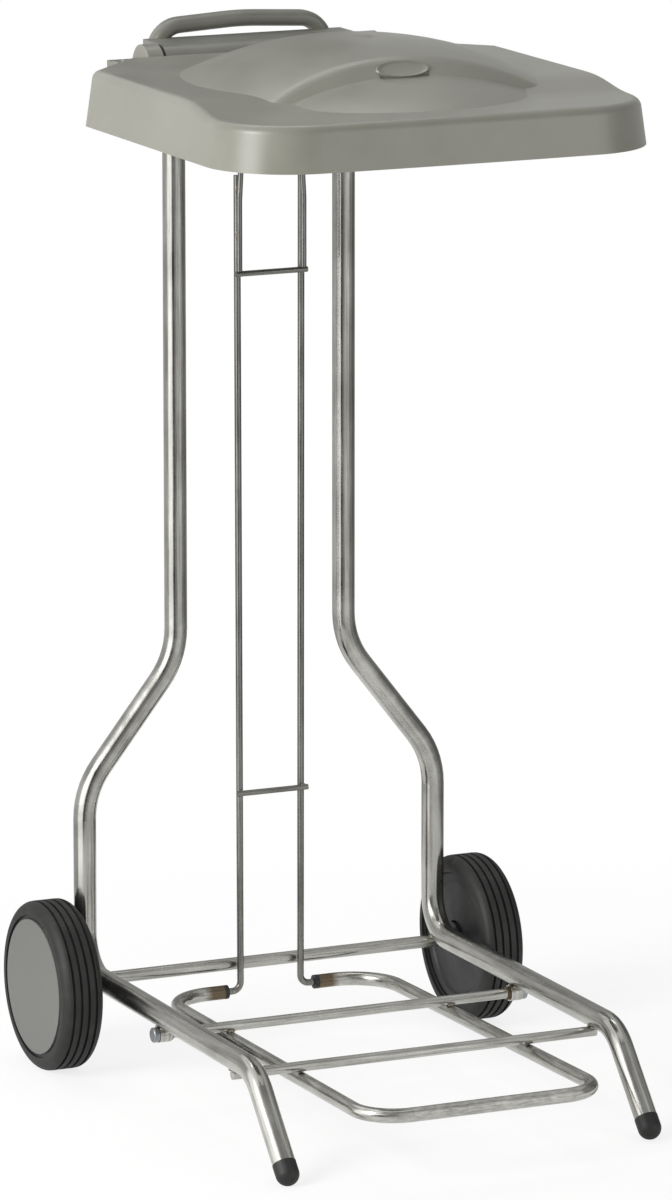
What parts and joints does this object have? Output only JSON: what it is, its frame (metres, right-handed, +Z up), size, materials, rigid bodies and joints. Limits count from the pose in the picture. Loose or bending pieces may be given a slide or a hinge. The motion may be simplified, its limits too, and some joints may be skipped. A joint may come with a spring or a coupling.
{
  "type": "lab bag holder stand",
  "caption": "Wheeled stainless tube stand that holds an open waste bag under a grey moulded lid, raised by a foot pedal through push rods.",
  "frame": {"origin": "centre of the footprint, on the floor", "axes": "+X is the right side as seen from the front, +Y points from the pedal at the front to the wheels at the back, +Z is up"},
  "size_m": [0.4452, 0.543, 0.927],
  "materials": {
    "stainless_steel": "brushed stainless tube and wire",
    "zinc_steel": "zinc plated",
    "screw_steel": "plated screws",
    "grey_plastic": "matt moulded grey",
    "handle_grey_plastic": "matt moulded grey",
    "light_grey_plastic": "satin light grey",
    "black_plastic": "matt black",
    "black_rubber": "matt black rubber",
    "tyre_rubber": "matt black tyre rubber"
  },
  "bodies": {
    "stand": {"left_side_tube": "stainless_steel", "right_side_tube": "stainless_steel", "left_rubber_foot": "black_rubber", "right_rubber_foot": "black_rubber", "wheel_axle": "stainless_steel", "left_axle_spacer": "black_plastic", "right_axle_spacer": "black_plastic", "left_axle_clip": "zinc_steel", "right_axle_clip": "zinc_steel", "front_cross_rod": "stainless_steel", "left_pivot_sleeve": "stainless_steel", "right_pivot_sleeve": "stainless_steel", "head_with_handle": "handle_grey_plastic", "head_screws": "screw_steel", "left_hinge_pin": "zinc_steel", "right_hinge_pin": "zinc_steel", "bag_ring": "stainless_steel", "left_ring_carrier": "stainless_steel", "right_ring_carrier": "stainless_steel"},
    "cover": {"lid": "grey_plastic", "lid_lever": "zinc_steel", "lever_screws": "screw_steel"},
    "pedal": {"foot_pedal": "stainless_steel", "pedal_pivot_rod": "stainless_steel", "left_pivot_ring": "zinc_steel", "right_pivot_ring": "zinc_steel", "left_pivot_cap": "black_plastic", "right_pivot_cap": "black_plastic", "left_pedal_bush": "black_plastic", "right_pedal_bush": "black_plastic"},
    "push_rods": {"left_push_wire": "stainless_steel", "right_push_wire": "stainless_steel", "lower_rung": "stainless_steel", "upper_rung": "stainless_steel", "yoke_wire": "stainless_steel"},
    "left_wheel": {"left_tyre": "tyre_rubber", "left_wheel_body": "black_plastic", "left_hub_cap": "light_grey_plastic"},
    "right_wheel": {"right_tyre": "tyre_rubber", "right_wheel_body": "black_plastic", "right_hub_cap": "light_grey_plastic"}
  },
  "joints": [
    {"name": "lid_hinge", "type": "hinge", "parent": "stand", "child": "cover", "pos_m": [0, 0.20466, 0.88], "axis": [-1, 0, 0], "range_deg": [0, 51]},
    {"name": "pedal_pivot", "type": "hinge", "parent": "stand", "child": "pedal", "pos_m": [0, 0.03406, 0.0657], "axis": [1, 0, 0], "range_deg": [0, 9.64]},
    {"name": "push_rod_foot", "type": "hinge", "parent": "pedal", "child": "push_rods", "pos_m": [0, 0.18346, 0.05345], "axis": [-1, 0, 0], "range_deg": [0, 9.64]},
    {"name": "left_wheel_spin", "type": "hinge", "parent": "stand", "child": "left_wheel", "pos_m": [-0.2036, 0.19654, 0.075], "axis": [1, 0, 0], "continuous": true},
    {"name": "right_wheel_spin", "type": "hinge", "parent": "stand", "child": "right_wheel", "pos_m": [0.2036, 0.19654, 0.075], "axis": [1, 0, 0], "continuous": true}
  ],
  "couplings": [
    {"joint": "pedal_pivot", "follows": "lid_hinge", "ratio": 0.18861},
    {"joint": "push_rod_foot", "follows": "lid_hinge", "ratio": 0.18861}
  ]
}
